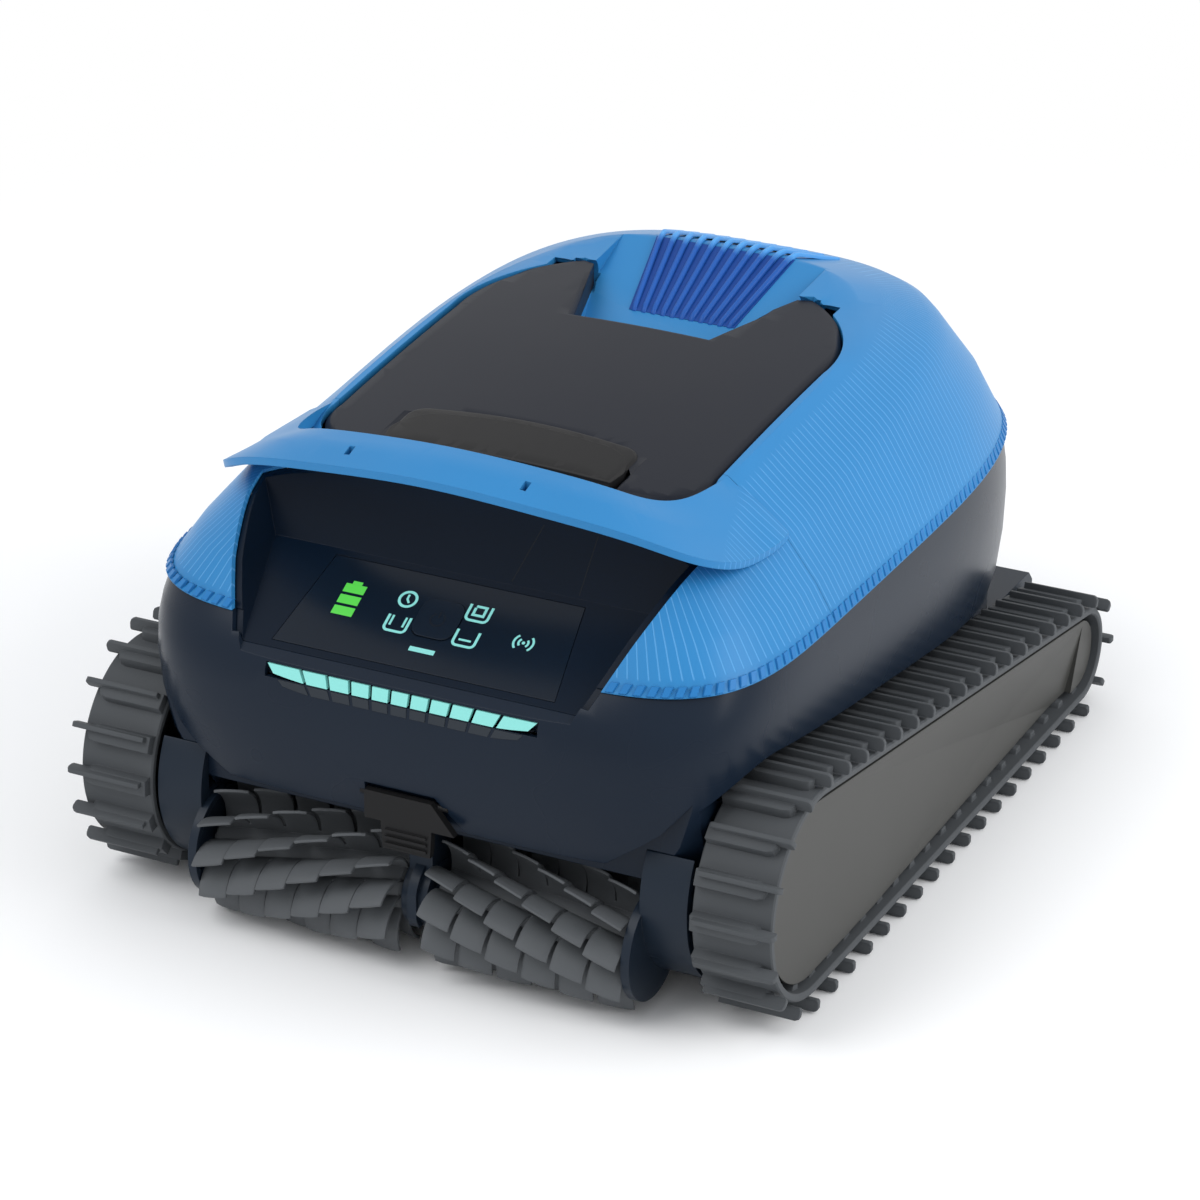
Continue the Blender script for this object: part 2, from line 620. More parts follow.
def lathe(profile, segments=48):
    """Shape turned about x from a closed ring of (along, radius) corners; returns a bmesh."""
    work = bmesh.new()
    turns = [math.tau * i / segments for i in range(segments)]
    rings = [[work.verts.new((along, radius * math.cos(a), radius * math.sin(a))) for a in turns]
             for along, radius in profile]
    wrap(work, rings + rings[:1])
    bmesh.ops.recalc_face_normals(work, faces=work.faces)
    return work


def soft_edge(piece, width, angle):
    """Bevel on the edges that turn by more than an angle in degrees; returns the modifier."""
    bevel = piece.modifiers.new("soft_edge", "BEVEL")
    bevel.width = width
    bevel.segments = 2
    bevel.limit_method = "ANGLE"
    bevel.angle_limit = math.radians(angle)
    return bevel


def mirrored(piece):
    """Turn a right-hand piece into the left-hand one."""
    piece.data.transform(Matrix.Scale(-1, 4, (1, 0, 0)))
    piece.data.flip_normals()


def brush(node_name, spin, mirror):
    """One roller: turned hub with its bearing bore, and the ring of vanes; spin 1 or -1 sets its hand."""
    centre = middle(node_name)
    vane = mesh_object("vane_" + node_name, vane_mesh(spin))
    thick = vane.modifiers.new("thickness", "SOLIDIFY")
    thick.thickness = VANE_THICK
    thick.offset = 0.0
    soft_edge(vane, VANE_SOFT, 50)
    x0, x1 = BRUSH_ENDS
    hub = mesh_object("hub_" + node_name, lathe([
        (x0, BORE), (x0, HUB - HUB_SOFT), (x0 + HUB_SOFT, HUB), (x1 - HUB_SOFT, HUB), (x1, HUB - HUB_SOFT),
        (x1, STUB), (x1 + STUB_LONG, STUB), (x1 + STUB_LONG, CHANNEL), (x0 + BORE_DEEP, CHANNEL),
        (x0 + BORE_DEEP, BORE)]))
    piece = grown("roller_" + node_name, hub, ring_tree, Vane=vane, Count=VANE_COUNT,
                  Finish=finishes["brush_rubber"])
    drop(vane)
    piece.data.transform(Matrix.Translation((0, centre.y, centre.z)))
    if mirror:
        mirrored(piece)
    piece.data.set_sharp_from_angle(angle=math.radians(40))
    return finish_piece(piece, body_of[node_name], "brush_rubber", finishes["brush_rubber"], node_name)


rollers = [brush("front_brush_right", 1, False), brush("front_brush_left", 1, True),
           brush("rear_brush_right", -1, False), brush("rear_brush_left", -1, True)]
print("roller faces", [len(r.data.polygons) for r in rollers])

# %% [markdown]
# ## Track belts
#
# A belt is a flat band with a moulded cleat every 20 mm. A cleat has a broad foot with a round outer
# end and, along one edge of the foot, a thin higher fin that runs out past the belt and ends in a
# rounded corner. Small lugs on the inside engage the wheel. The band follows two circles and the two
# lines that touch both, so one function gives the points round it, and one node tree sets out the
# cleats and then the lugs.

# %% Path of the belt
wheel_front, wheel_rear = middle("drive_wheel_right"), middle("idler_wheel_right")
GROUND_CLEAR = 8.5 * MM            # height of the band over the ground, just over that of a fin
BAND = 4.0 * MM                    # thickness of the band
BAND_SOFT = 0.8 * MM               # chamfer of its edges
RADIUS_FRONT = wheel_front.z - GROUND_CLEAR
RADIUS_REAR = wheel_rear.z - GROUND_CLEAR
BAND_X = (144.0 * MM, 184.0 * MM)
CLEATS = 46


def belt_points(offset, step=2.5 * MM):
    """Points round the belt, offset outwards from its outer face, as (y, z) in order.

    The number of points doesn't change with the offset, so that rings of them can be joined.
    """
    span = Vector((wheel_rear.y - wheel_front.y, wheel_rear.z - wheel_front.z))
    slope = math.atan2(span.y, span.x)
    spread = math.acos((RADIUS_FRONT - RADIUS_REAR) / span.length)
    rear_turn = 2 * spread
    around = []
    for centre, radius, start, turned in (
            (wheel_rear, RADIUS_REAR + offset, slope - spread, rear_turn),
            (wheel_front, RADIUS_FRONT + offset, slope + spread, math.tau - rear_turn)):
        count = round((radius - offset) * turned / step)
        for i in range(count + 1):
            a = start + turned * i / count
            around.append((centre.y + radius * math.cos(a), centre.z + radius * math.sin(a)))
    return around


def band_mesh():
    """The band: its rounded cross-section swept round the path."""
    inner, outer = BAND_X
    soft = BAND_SOFT
    section = [(inner + soft, 0), (outer - soft, 0), (outer, -soft), (outer, -BAND + soft),
               (outer - soft, -BAND), (inner + soft, -BAND), (inner, -BAND + soft), (inner, -soft)]
    work = bmesh.new()
    rings = [[work.verts.new((x, y, z)) for y, z in belt_points(out)] for x, out in section]
    wrap(work, rings + rings[:1])
    bmesh.ops.recalc_face_normals(work, faces=work.faces)
    shade_smooth(work)
    return work


# %% One cleat and one lug
def merged(name, *works):
    """Several bmeshes as one object."""
    whole = bmesh.new()
    for work in works:
        mesh = bpy.data.meshes.new("part")
        work.to_mesh(mesh)
        work.free()
        whole.from_mesh(mesh)
        bpy.data.meshes.remove(mesh)
    return mesh_object(name, whole)


def softened(piece, width):
    """Round a piece's edges with a bevel that is applied at once."""
    bevel = soft_edge(piece, width, 35)
    graph = bpy.context.evaluated_depsgraph_get()
    mesh = bpy.data.meshes.new_from_object(piece.evaluated_get(graph), depsgraph=graph)
    piece.modifiers.remove(bevel)
    piece.data = mesh
    for face in mesh.polygons:
        face.use_smooth = True
    mesh.set_sharp_from_angle(angle=math.radians(40))
    return piece


def prism(low, high):
    """Solid between two rings of corners with the same count, as a bmesh."""
    work = bmesh.new()
    rings = [[work.verts.new([c * MM for c in corner]) for corner in ring] for ring in (low, high)]
    for ring in rings:
        work.faces.new(ring)
    wrap(work, rings)
    bmesh.ops.recalc_face_normals(work, faces=work.faces)
    return work


def cleat():
    """Broad foot with a round outer end, and a thin fin, in millimetres.

    Along the belt is y and out of it z. The tree lays the shape's -x to the outer side of the track,
    so each plan is written with x outwards and then takes the other sign.
    """
    plan = [(145, -4.7), (175.5, -4.7), (178.6, -3.6), (180, 0), (178.6, 3.6), (175.5, 4.7), (145, 4.7)]
    foot = prism([(-x, y, -1.0) for x, y in plan], [(-x, y * 0.85, 4.8) for x, y in plan])
    face = [(147, 1.6), (187.2, 1.6), (188, 2.6), (188, 5.6), (187.3, 7.3), (185.7, 8.0), (147, 8.0)]
    lean = [0.06 * (out - 1.6) for _, out in face]
    fin = prism([(-x, -3.8 + t, out) for (x, out), t in zip(face, lean)],
                [(-x, -0.6 - t, out) for (x, out), t in zip(face, lean)])
    return softened(merged("cleat", foot, fin), 0.35 * MM)


def lug():
    """Tapered block across the inside of the band, 2.9 mm deep."""
    sides = [(-4.0, 1.0), (4.0, 1.0), (2.4, -2.9), (-2.4, -2.9)]
    block = prism([(-148, y, z) for y, z in sides], [(-179, y, z) for y, z in sides])
    return softened(merged("lug", block), 0.5 * MM)


# %% Copies along the belt
path_tree, given = new_tree("copies_along_line", Shape=("Object", None), Count=("Int", CLEATS),
                            Side=("Vector", (1, 0, 0)), Finish=("Material", None))
curve = add(path_tree, "GeometryNodeMeshToCurve", {"Mesh": given.outputs["Geometry"]})
even = add(path_tree, "GeometryNodeResampleCurve", {"Curve": curve.outputs[0],
                                                    "Count": given.outputs["Count"]})
tangent = add(path_tree, "GeometryNodeInputTangent")
outward = add(path_tree, "ShaderNodeVectorMath", {0: tangent.outputs[0], 1: given.outputs["Side"]},
              operation="CROSS_PRODUCT")
facing = add(path_tree, "FunctionNodeAlignRotationToVector", {"Vector": outward.outputs[0]}, axis="Z")
along = add(path_tree, "FunctionNodeAlignRotationToVector",
            {"Rotation": facing.outputs[0], "Vector": tangent.outputs[0]}, axis="Y", pivot_axis="Z")
shape = add(path_tree, "GeometryNodeObjectInfo", {"Object": given.outputs["Shape"]})
spread = add(path_tree, "GeometryNodeInstanceOnPoints", {"Points": even.outputs[0],
                                                         "Instance": shape.outputs["Geometry"],
                                                         "Rotation": along.outputs[0]})
close_tree(path_tree, spread.outputs[0], given.outputs["Finish"])


def belt_line(offset):
    """Closed line of edges round the belt, for a tree to set copies out on."""
    work = bmesh.new()
    verts = [work.verts.new((0, y, z)) for y, z in belt_points(offset, 1.0 * MM)]
    for i in range(len(verts)):
        work.edges.new((verts[i], verts[(i + 1) % len(verts)]))
    return mesh_object("belt_line", work)


def belt(side):
    """Band, cleats and lugs of one track as one piece; the left one is the mirror image of the right."""
    parts = [mesh_object("band", band_mesh())]
    for small, offset in ((cleat(), 0.0), (lug(), -BAND)):
        parts.append(grown("set_out", belt_line(offset), path_tree, Shape=small, Count=CLEATS,
                           Finish=finishes["track_rubber"]))
        drop(small)
    whole = bmesh.new()
    for part in parts:
        whole.from_mesh(part.data)
    drop(*parts)
    piece = mesh_object("belt_" + side, whole)
    if side == "left":
        mirrored(piece)
    piece.data.set_sharp_from_angle(angle=math.radians(40))
    return finish_piece(piece, "body", "track_rubber", finishes["track_rubber"], "track_belt_" + side)


belts = [belt("right"), belt("left")]
print("belt faces", [len(b.data.polygons) for b in belts])
print("right belt", [[round(v, 4) for v in belts[0].bound_box[corner]] for corner in (0, 6)])

# %% [markdown]
# ## Toothed band at the rim
#
# The lower edge of the blue shells ends in a band of slanted teeth, 5 mm tall, all round the body up
# to the control recess. They hide the seam on the real machine. One tooth is a slanted block that
# leans with the shell's side; the node tree of the belts sets it out along the rim line.

# %% Rim teeth
RIM_HALF, RIM_FRONT, RIM_REAR, WIDEST_Y = 161.5, -208.5, 218.0, -40.0      # outline, in millimetres
REAR_POWER, FRONT_POWER = 4.0, 5.5        # how square the outline is behind and before its widest place
RIM_LOW = 166.0                           # height of the foot of the teeth
RIM_STEPS = 900
TOOTH_PITCH = 6.4
TOOTH_LEAN = math.radians(31)             # slope of the shell's side
RECESS_EDGE, RECESS_END = 100.0, -60.0    # no teeth between these x, in front of this y


def rim_point(angle):
    """Point of the rim's outline at an angle about the middle of its widest place, in millimetres."""
    c, s = math.cos(angle), math.sin(angle)
    reach, power = (RIM_REAR - WIDEST_Y, REAR_POWER) if s > 0 else (WIDEST_Y - RIM_FRONT, FRONT_POWER)
    r = (abs(c / RIM_HALF) ** power + abs(s / reach) ** power) ** (-1 / power)
    return r * c, WIDEST_Y + r * s


def rim_line():
    """Line round the rim from the recess's right edge past the rear to its left edge, and its teeth."""
    spots = [rim_point(-math.pi / 2 + math.tau * i / RIM_STEPS) for i in range(RIM_STEPS)]
    kept = [spot for spot in spots if spot[1] > RECESS_END or abs(spot[0]) > RECESS_EDGE]
    work = bmesh.new()
    verts = [work.verts.new((x * MM, y * MM, RIM_LOW * MM)) for x, y in kept]
    for first, second in zip(verts, verts[1:]):
        work.edges.new((first, second))
    length = sum((b.co - a.co).length for a, b in zip(verts, verts[1:]))
    return mesh_object("rim_line", work), round(length / (TOOTH_PITCH * MM))


def tooth():
    """Slanted tooth: local -x is up, y runs along the rim, z points outwards."""
    c, s = math.cos(TOOTH_LEAN), math.sin(TOOTH_LEAN)
    plan = [(0.0, -2.6), (0.0, 1.6), (5.2, 4.0), (5.2, -0.2)]

    def corner(up, along, out):
        return (-up * c - out * s, along, out * c - up * s)
    low = [corner(up, along, -0.8) for up, along in plan]
    high = [corner(0.3 + up * 0.9, along * 0.8 + 0.2, 0.55) for up, along in plan]
    return merged("tooth", prism(low, high))


line, tooth_count = rim_line()
one_tooth = tooth()
teeth = grown("rim_teeth", line, path_tree, Shape=one_tooth, Count=tooth_count, Side=(0.0, 0.0, 1.0),
              Finish=finishes["shell_blue"])
drop(one_tooth)
# The same satin ABS without the groove pattern, a shade deeper: the teeth read as one band.
finish_piece(teeth, "body", "shell_blue", moulded("satin_abs_blue_rim", "#2672b0", 0.36))
print("rim teeth", tooth_count)

# %% [markdown]
# ## Vent fins
#
# Eleven fins fan out up the ramp behind the lid and run on over the rear crest, with the outlet under
# them. Each is a narrow rib with a rounded top on a darker blue insert. A straight bar would miss the
# crest, so each rib is swept: a ray cast down on the construction bar gives its top at every station.

# %% Sweep along the bars
VENT_COUNT, VENT_FRONT_Y, VENT_BACK_Y = 11, 74.5, 168.5
STATIONS = 32
FAN_Y, FAN_LONG = 74.0, 53.0              # the fins fan out over this length
VENT_PITCHES = (5.3, 7.3)                 # distance between fins at its start and at its end
FIN_HALF = 1.35
FIN_DEEP = 2.3
CREST = (121 * MM, 127 * MM)              # where the fins change to the colour of the shell
SLOPE_FOOT, SLOPE_HEAD = (56.0, 222.5), (127.0, 251.2)      # (y, z) of the ramp's lower and upper end
ABOVE_LID = 0.3                           # rays start here, in metres


def caster(node_name):
    """Function that casts a ray on a construction node and returns the point hit, or None."""
    mesh = nodes[node_name].data
    tree = BVHTree.FromPolygons([v.co for v in mesh.vertices], [p.vertices[:] for p in mesh.polygons])
    return lambda start, way: tree.ray_cast(Vector(start), Vector(way))[0]


def fan_x(number, y):
    """x of a bar's middle at y; number counts from the middle bar."""
    return number * (VENT_PITCHES[0] + (VENT_PITCHES[1] - VENT_PITCHES[0]) * (y - FAN_Y) / FAN_LONG)


def vent_fins():
    """All the fins as one piece, each a rounded profile swept along its bar."""
    on_bar = caster("vent_bars")
    profile = [(-FIN_HALF, -FIN_DEEP), (-FIN_HALF, -0.8), (-0.85, -0.2), (0, 0), (0.85, -0.2),
               (FIN_HALF, -0.8), (FIN_HALF, -FIN_DEEP)]
    work = bmesh.new()
    for i in range(VENT_COUNT):
        number = i - (VENT_COUNT - 1) / 2
        rings = []
        for step in range(STATIONS + 1):
            y = VENT_FRONT_Y + (VENT_BACK_Y - VENT_FRONT_Y) * step / STATIONS
            spot = on_bar((fan_x(number, y) * MM, y * MM, ABOVE_LID), (0, 0, -1))
            if spot is not None:
                rings.append([work.verts.new((spot.x + across * MM, spot.y, spot.z + up * MM))
                              for across, up in profile])
        wrap(work, rings)
        work.faces.new(rings[0])
        work.faces.new(rings[-1])
    bmesh.ops.recalc_face_normals(work, faces=work.faces)
    shade_smooth(work)
    piece = mesh_object("vent_fins", work)
    piece.data.set_sharp_from_angle(angle=math.radians(50))
    return piece


def over_crest(tree, place):
    """1 behind the crest, where the fins run on in the colour of the shell."""
    return ramp(tree, add(tree, "ShaderNodeSeparateXYZ", {0: place}).outputs["Y"], *CREST)


def on_ramp(plan, lift):
    """Corners of a plan laid on the vent's ramp, with a small lift, in millimetres."""
    slope = SLOPE_HEAD[1] - SLOPE_FOOT[1], SLOPE_HEAD[0] - SLOPE_FOOT[0]
    return [(x, y, SLOPE_FOOT[1] + slope[0] * (y - SLOPE_FOOT[0]) / slope[1] + lift) for x, y in plan]


# Satin ABS: the same soft sheen as the shell, royal blue on the ramp and the shell's blue past the crest.
fins = finish_piece(vent_fins(), "body", "vent_blue",
                    moulded("satin_abs_royal_blue_fins", "#2157a6", 0.36, lines=over_crest,
                            line_colour="#4f9ada"), "vent_bars")
insert_plan = [(-29.5, 75.0), (29.5, 75.0), (39.0, 126.4), (-39.0, 126.4)]
insert = merged("vent_insert", prism(on_ramp(insert_plan, 0.05), on_ramp(insert_plan, 0.25)))
# A deeper blue between the fins makes the gaps look as deep as they are.
finish_piece(insert, "body", "vent_blue", moulded("satin_abs_deep_blue", "#18448f", 0.4))
print("vent fins", VENT_COUNT, "faces", len(fins.data.polygons))

# %% [markdown]
# ## Light strip
#
# Eleven windows let the status light out under the control panel. They are narrow in the middle and
# wide at the ends, and the slots between them lean outwards, so that the row opens like a smile. A
# second, unlit row of tinted tiles stands right below. They could be one strip with dark lines drawn
# on it, but the slots are real gaps, so each window is a block whose face follows the body: rays cast
# on the construction strip give its depth.

# %% Windows of the strip
STRIP_WIDTHS = [10.3, 10.3, 10.9, 12.0, 13.8, 18.6]      # from the middle outwards
STRIP_HALF = 70.8                                        # half the length of the row
STRIP_LOW, STRIP_HIGH = 143.5, 149.3                     # z of the lit row
TILES_LOW, TILES_HIGH = 138.2, 142.6                     # z of the unlit row
WINDOW_GAP = 1.9
WINDOW_COLUMNS = 6
PROUD = 0.25                                             # how far a window stands out of the body
STRIP_GROWTH, LEAN_MIDDLE, LEAN_MORE = 1.008, 0.03, 0.05      # how a border's x grows and leans
RISE_START, RISE_LONG, RISE_HIGH = 50, 21, 2.0           # the foot rises beyond the start, to this height
BEFORE_FRONT = -0.3                                      # rays start here, in metres


def strip_edges():
    """x of the borders between windows, from left to right."""
    half = [STRIP_WIDTHS[0] / 2]
    for width in STRIP_WIDTHS[1:]:
        half.append(half[-1] + width)
    scale = STRIP_HALF / half[-1]
    right = [x * scale for x in half]
    return [-x for x in reversed(right)] + right


def strip_lean(x, z):
    """x of a leaning border at height z; the borders lean more towards the ends of the row."""
    down = (STRIP_HIGH - z) / (STRIP_HIGH - STRIP_LOW)
    return x * (STRIP_GROWTH - (LEAN_MIDDLE + LEAN_MORE * (x / STRIP_HALF) ** 2) * down)


def end_rise(x):
    """Height by which the foot of the last windows rises to a point."""
    return RISE_HIGH * max(0.0, (abs(x) - RISE_START) / RISE_LONG) ** 1.6


on_strip, on_body = caster("light_strip"), caster("lower_body")


def front_y(x, z):
    """y of the foremost point hit near a place, so that a slot between two windows isn't looked through."""
    starts = [(x * MM + side * MM, BEFORE_FRONT, z * MM) for side in (-0.9, 0, 0.9)]
    hits = [hit for hit in (on_strip(start, (0, 1, 0)) for start in starts) if hit is not None]
    hits = hits or [on_body(starts[1], (0, 1, 0))]
    return min(hit.y for hit in hits)


def window(left, right, foot, head, thick):
    """Window between two borders; foot and head give its edges at x, its face follows the body."""
    work = bmesh.new()
    runs = [left + WINDOW_GAP / 2 + (right - left - WINDOW_GAP) * i / WINDOW_COLUMNS
            for i in range(WINDOW_COLUMNS + 1)]
    layers = []
    for depth in (-PROUD, thick):
        grid = []
        for edge in (foot, head):
            spots = [(strip_lean(run, edge(run)), edge(run)) for run in runs]
            grid.append([work.verts.new((x * MM, front_y(x, z) + depth * MM, z * MM)) for x, z in spots])
        layers.append(grid)
    for grid in layers:
        for i in range(WINDOW_COLUMNS):
            work.faces.new((grid[0][i], grid[0][i + 1], grid[1][i + 1], grid[1][i]))
    wrap(work, [layer[0] + layer[1][::-1] for layer in layers])
    bmesh.ops.recalc_face_normals(work, faces=work.faces)
    return work


# %% Rows of windows
edges = strip_edges()


def row_of_windows(name, low, high, thick):
    """A window between every two borders, as one piece."""
    return merged(name, *[window(a, b, lambda x: low + end_rise(x), lambda x: high, thick)
                          for a, b in zip(edges, edges[1:])])


lit_row = row_of_windows("light_windows", STRIP_LOW, STRIP_HIGH, 2.0)
# Milky polycarbonate with light behind it: the colour is even and glows a little in the shade.
glow = new_material("mint_light_window", "#86d6cf", 0.3, Emission_Color=linear("#86d6cf"),
                    Emission_Strength=0.05)[0]
finish_piece(lit_row, "body", "light_cyan", glow, "light_strip")
dark_row = row_of_windows("dark_windows", TILES_LOW, TILES_HIGH, 0.4)
# The same windows with no light behind them: smoky tiles, a little paler than the body.
finish_piece(dark_row, "body", "light_cyan", moulded("tinted_window_smoke", "#2b3138", 0.3))
FOOT = STRIP_LOW - 0.3
ends = [window(a, b, lambda x: FOOT, lambda x: FOOT + end_rise(x), 1.6)
        for a, b in ((-73.4, -51.5), (51.5, 73.4))]
finish_piece(merged("strip_ends", *ends), "body", "body_navy", finishes["body_navy"])
print("strip borders", [round(x, 1) for x in edges])

# %% [markdown]
# ## Signs on the control panel
#
# The panel carries a row of lit signs: the battery's level in green, and in mint a clock, three
# cleaning programmes, a bar under the button and radio waves. On the real panel they are printed
# under the clear face and lit from behind. A pattern in the panel's material could draw them, but its
# edges would be hard to steer, so each is made of ribbons of an even width on the panel's own plane,
# 0.12 mm proud. A sign is a list of strokes: x from the middle of the panel and the distance up its
# slope, in millimetres.

# %% Strokes on a plane
PANEL_LOW, PANEL_HIGH = (-210.0, 155.4), (-157.6, 183.9)       # (y, z) of the panel's lower and upper edge
WALL_HIGH = (-140.5, 223.0)                                    # upper edge of the wall behind it
SIGN_LINE, SIGN_THICK, SIGN_FOOT = 1.35, 0.12, -0.05           # width, height and sunk foot of a stroke


def on_plane(low, high, lift=0.0):
    """Function from (x, along) on a sloping plane to a point in millimetres."""
    length = math.hypot(high[0] - low[0], high[1] - low[1])
    step = ((high[0] - low[0]) / length, (high[1] - low[1]) / length)

    def place(x, along, out):
        out += lift
        return (x, low[0] + along * step[0] - out * step[1], low[1] + along * step[1] + out * step[0])
    return place


def ribbon(points, width, place, closed=False, thick=SIGN_THICK):
    """Ribbon of an even width along (x, along) points, standing proud of a plane."""
    spots = [Vector(p) for p in points]
    count = len(spots)
    left, right = [], []
    for i, spot in enumerate(spots):
        before = spots[i - 1] if (i or closed) else spot
        after = spots[(i + 1) % count] if (i < count - 1 or closed) else spot
        first = (spot - before).normalized() if (spot - before).length else (after - spot).normalized()
        second = (after - spot).normalized() if (after - spot).length else first
        way = (first + second).normalized()
        side = Vector((-way.y, way.x)) * (width / 2 / max(0.5, way.dot(first)))
        left.append(spot + side)
        right.append(spot - side)
    work = bmesh.new()
    grid = [[work.verts.new([c * MM for c in place(p.x, p.y, out)]) for p in line]
            for line, out in ((left, SIGN_FOOT), (left, thick), (right, thick), (right, SIGN_FOOT))]
    for i in range(count if closed else count - 1):
        j = (i + 1) % count
        for a in range(4):
            b = (a + 1) % 4
            work.faces.new((grid[a][i], grid[a][j], grid[b][j], grid[b][i]))
    if not closed:
        work.faces.new([grid[a][0] for a in range(4)])
        work.faces.new([grid[a][-1] for a in range(4)])
    bmesh.ops.recalc_face_normals(work, faces=work.faces)
    return work


def bracket(cx, cy, inner):
    """Open box of a programme sign, with what is cleaned marked inside it."""
    half, high, flat, soft = 5.6, 4.6, 3.4, 2.2      # half width, side, half floor and corner radius
    box = ([(cx - half, cy + high), (cx - half, cy - soft)] + arc(cx - flat, cy - soft, soft, 180, 270, 4)
           + arc(cx + flat, cy - soft, soft, 270, 360, 4) + [(cx + half, cy + high)])
    return [box] + inner


# %% Mint signs
THIN = SIGN_LINE * 0.8
CLOCK, CLOCK_RADIUS = (-19.5, 39.5), 4.3
WAVES, WAVE_RADII, WAVE_SPAN, WAVE_LINE = (45.6, 29.5), (2.4, 4.9), 48, 1.1      # span in degrees
PROGRAMMES = [
    (-18.6, 25.0, [[(-22.0, 29.4), (-22.0, 23.6)], [(-15.2, 29.4), (-15.2, 23.6)]]),
    (17.6, 40.0, [[(14.9, 43.8), (20.3, 43.8), (20.3, 38.8), (14.9, 38.8), (14.9, 42.9)]]),
    (17.6, 25.0, [[(14.4, 24.0), (20.8, 24.0)]])]          # walls, whole pool and floor
panel = on_plane(PANEL_LOW, PANEL_HIGH)
mint = [ribbon(arc(*CLOCK, CLOCK_RADIUS, 0, 360, 28)[:-1], SIGN_LINE, panel, closed=True),
        ribbon([(-19.9, 42.2), (-19.9, 39.6), (-18.3, 37.6)], THIN, panel)]
for cx, cy, inner in PROGRAMMES:
    for stroke in bracket(cx, cy, inner):
        mint.append(ribbon(stroke, SIGN_LINE if len(stroke) > 3 else THIN, panel))
mint.append(ribbon([(-6.6, 13.4), (6.6, 13.4)], 2.6, panel))
for reach in WAVE_RADII:
    for side in (0, 180):
        wave = arc(*WAVES, reach, side - WAVE_SPAN, side + WAVE_SPAN, 8)
        mint.append(ribbon(wave, WAVE_LINE, panel))
mint.append(ribbon(arc(*WAVES, 0.45, 0, 360, 8)[:-1], 0.8, panel, closed=True))
finish_piece(merged("lit_signs", *mint), "body", "light_cyan", glow)
print("mint strokes", len(mint))

# %% Battery sign
BATTERY_X, BAR_HALF, BAR_WIDE = -47.6, 2.5, 11.0
# Milky polycarbonate lit green: a little stronger than the mint signs, so that it stays saturated.
green_glow = new_material("green_light_window", "#57cc49", 0.25, Emission_Color=linear("#4fc944"),
                          Emission_Strength=0.12)[0]
bars = [ribbon([(BATTERY_X, y - BAR_HALF), (BATTERY_X, y + BAR_HALF)], BAR_WIDE, panel)
        for y in (25.6, 32.2, 38.8)]
bars.append(ribbon([(BATTERY_X, 41.0), (BATTERY_X, 43.2)], 5.0, panel))
finish_piece(merged("battery_sign", *bars), "body", "light_cyan", green_glow)
print("battery bars", len(bars) - 1, "and a terminal")

# %% [markdown]
# ## Power sign and seams of the recess
#
# The button carries a power sign that shows only at close range, and two thin seams run up the wall of
# the recess. Both are ribbons again, hardly proud at all, because a groove would mean cutting the
# construction piece. The power sign rides on the button, so that it goes in with it.

# %% Faint marks
FAINT_LINE, FAINT_THICK, SEAM_LINE, SEAM_THICK = 0.9, 0.06, 0.5, 0.04
BUTTON_PROUD = 0.6                        # the button's face stands so far out of the panel
# Smoked print on satin ABS: nearly the colour below it, so that it shows only where light grazes it.
faint = moulded("smoked_print", "#0d141d", 0.3, edge_mm=0.1)
button_face = on_plane(PANEL_LOW, PANEL_HIGH, BUTTON_PROUD)
power = [ribbon(stroke, FAINT_LINE, button_face, thick=FAINT_THICK)
         for stroke in (arc(0, 31.6, 3.6, -240, 60, 20), [(0, 36.2), (0, 32.6)])]
finish_piece(merged("power_sign", *power), "power_button", "button_black", faint)
wall = on_plane(PANEL_HIGH, WALL_HIGH)
seams = [ribbon([(foot, 1.5), (head, 30.0)], SEAM_LINE, wall, thick=SEAM_THICK)
         for foot, head in ((25.5, 36.5), (60.5, 64.5))]
finish_piece(merged("recess_seams", *seams), "body", "housing_dark", faint)
print("power strokes", len(power), "seams", len(seams))

# %% [markdown]
# ## Floor, lights and camera
#
# The machine stands on a white sweep. A curved sweep could be modelled, but a flat floor does the same
# when its material fades: near the machine it is white paper with a shadow on it, and further out it
# turns to plain white, so that no horizon shows. The sky is white to the camera and in reflections,
# and a soft, slightly cool light to everything else.

# %% White floor
FLOOR_HALF = 9.0                          # half the floor's side, in metres
FADE_START, FADE_END = 0.42, 1.1          # distances from the middle between which the floor turns white


def background_rays(tree):
    """1 for a ray that should find the white background: seen directly, mirrored or seen through."""
    path = add(tree, "ShaderNodeLightPath").outputs
    bent = add(tree, "ShaderNodeMath", {0: path["Is Glossy Ray"], 1: path["Is Transmission Ray"]},
               operation="MAXIMUM")
    return add(tree, "ShaderNodeMath", {0: path["Is Camera Ray"], 1: bent.outputs[0]},
               operation="MAXIMUM").outputs[0]


floor_mesh = bpy.data.meshes.new("floor")
corners = [(x * FLOOR_HALF, y * FLOOR_HALF, 0) for x, y in ((-1, -1), (1, -1), (1, 1), (-1, 1))]
floor_mesh.from_pydata(corners, [], [(0, 1, 2, 3)])
floor = new_object("floor", floor_mesh)
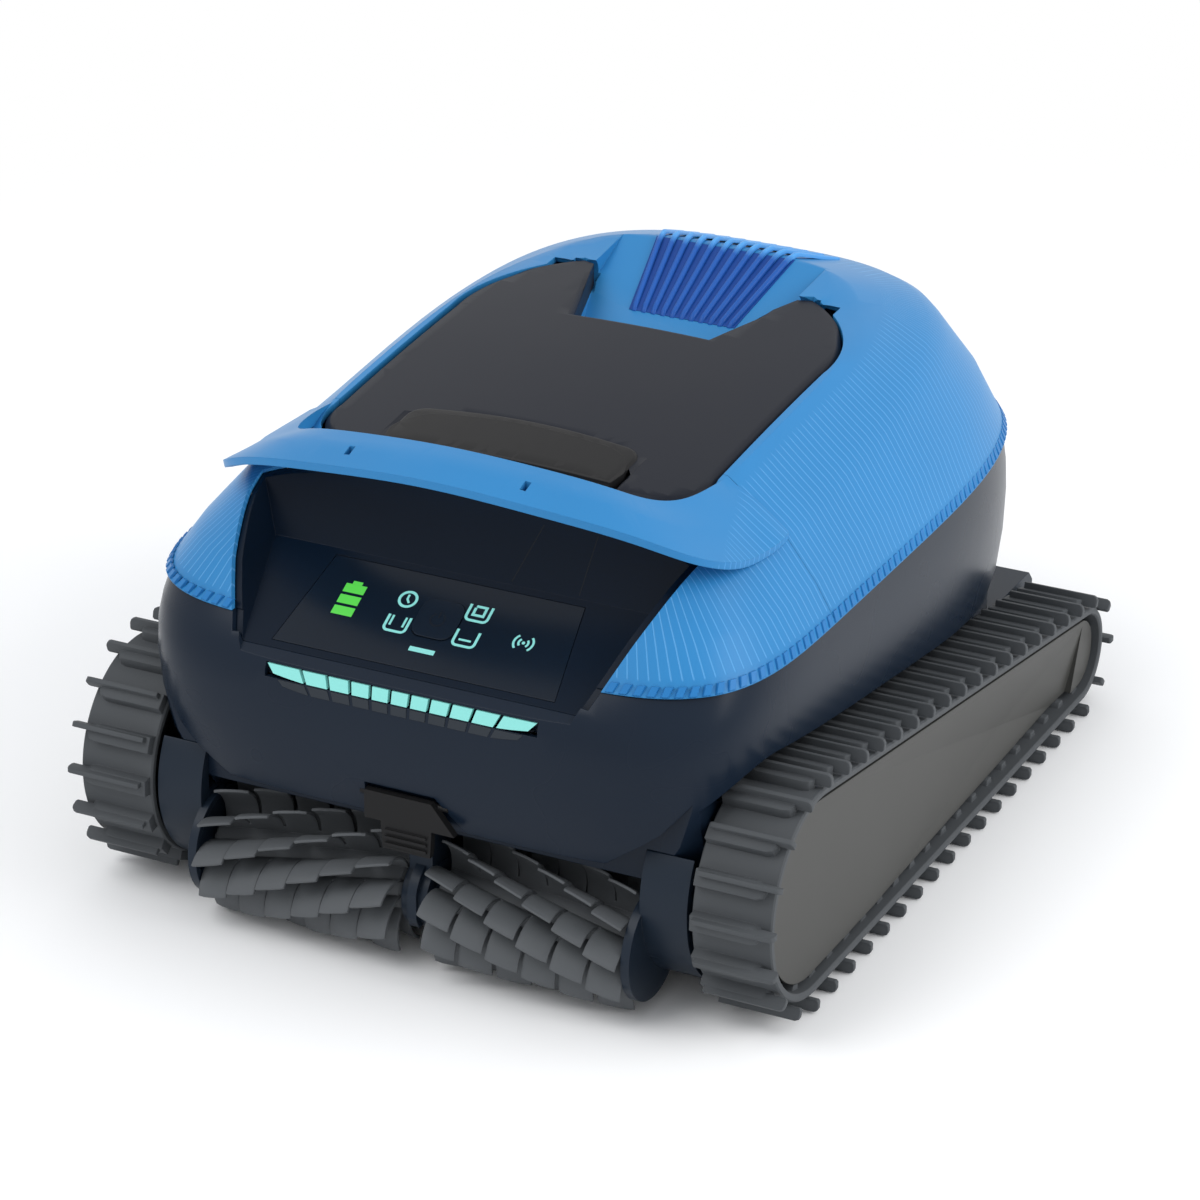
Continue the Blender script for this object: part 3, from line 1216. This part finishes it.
# Matt white paper: it takes a soft shadow and gives no highlight of its own.
white_floor, tree, shader = new_material("white_studio_floor", "#fcfcfc", 0.9)
spot = add(tree, "ShaderNodeTexCoord").outputs["Object"]
away = add(tree, "ShaderNodeVectorMath", {0: spot}, operation="LENGTH")
far = add(tree, "ShaderNodeMapRange", {"Value": away.outputs["Value"], "From Min": FADE_START,
                                       "From Max": FADE_END}, interpolation_type="SMOOTHSTEP")
seen_far = add(tree, "ShaderNodeMath", {0: far.outputs["Result"], 1: background_rays(tree)},
               operation="MULTIPLY")
paper = add(tree, "ShaderNodeEmission", {"Color": (1, 1, 1, 1), "Strength": 1.0})
faded = add(tree, "ShaderNodeMixShader", {0: seen_far.outputs[0], 1: shader.outputs[0],
                                          2: paper.outputs[0]})
tree.links.new(faded.outputs[0], tree.nodes["Material Output"].inputs["Surface"])
floor.data.materials.append(white_floor)
print("floor", [round(side, 1) for side in floor.dimensions])

# %% Sky and softboxes
SKY_COLOUR, SKY_STRENGTH = (0.95, 0.97, 1.0, 1), 0.78
LIT_POINT = (0, 0, 0.1)                   # both softboxes face this point
world = bpy.data.worlds.new("studio")
bpy.context.scene.world = world
world.use_nodes = True
tree = world.node_tree
tree.nodes.clear()
seen = add(tree, "ShaderNodeBackground", {"Color": (1, 1, 1, 1), "Strength": 1.0})
lit = add(tree, "ShaderNodeBackground", {"Color": SKY_COLOUR, "Strength": SKY_STRENGTH})
mixed = add(tree, "ShaderNodeMixShader", {0: background_rays(tree), 1: lit.outputs[0], 2: seen.outputs[0]})
add(tree, "ShaderNodeOutputWorld", {"Surface": mixed.outputs[0]})


def aimed(way):
    """Rotation of a lamp or a camera that looks along a direction."""
    return way.to_track_quat("-Z", "Y").to_euler()


def softbox(name, place, size, power):
    """Rectangular lamp at a place, turned to the machine; size in metres and power in watts."""
    data = bpy.data.lights.new(name, "AREA")
    data.shape = "RECTANGLE"
    data.size, data.size_y = size
    data.energy = power
    lamp = new_object(name, data)
    lamp.location = place
    lamp.rotation_euler = aimed(Vector(LIT_POINT) - Vector(place))


softbox("key", (-1.0, -1.4, 2.2), (1.6, 1.6), 26)
softbox("rim", (1.9, 0.3, 1.15), (1.2, 1.6), 25)
print("softboxes", [lamp.name for lamp in bpy.data.lights])

# %% Camera
CAMERA_PLACE, LENS = (0.90415, -1.80742, 1.04628), 133.27       # metres, and millimetres on a 36 mm sensor
AZIMUTH, ELEVATION = math.radians(26.78), math.radians(24.97)   # to the right of the front, and above it
camera_data = bpy.data.cameras.new("camera")
camera_data.lens = LENS
camera_data.sensor_width = 36.0
camera = new_object("camera", camera_data)
camera.location = CAMERA_PLACE
level = math.cos(ELEVATION)
look = Vector((-math.sin(AZIMUTH) * level, math.cos(AZIMUTH) * level, -math.sin(ELEVATION)))
camera.rotation_euler = aimed(look)
bpy.context.scene.camera = camera
bpy.context.scene.view_settings.view_transform = "Standard"
print("camera", round(camera.location.length, 3), "m from the middle of the floor")
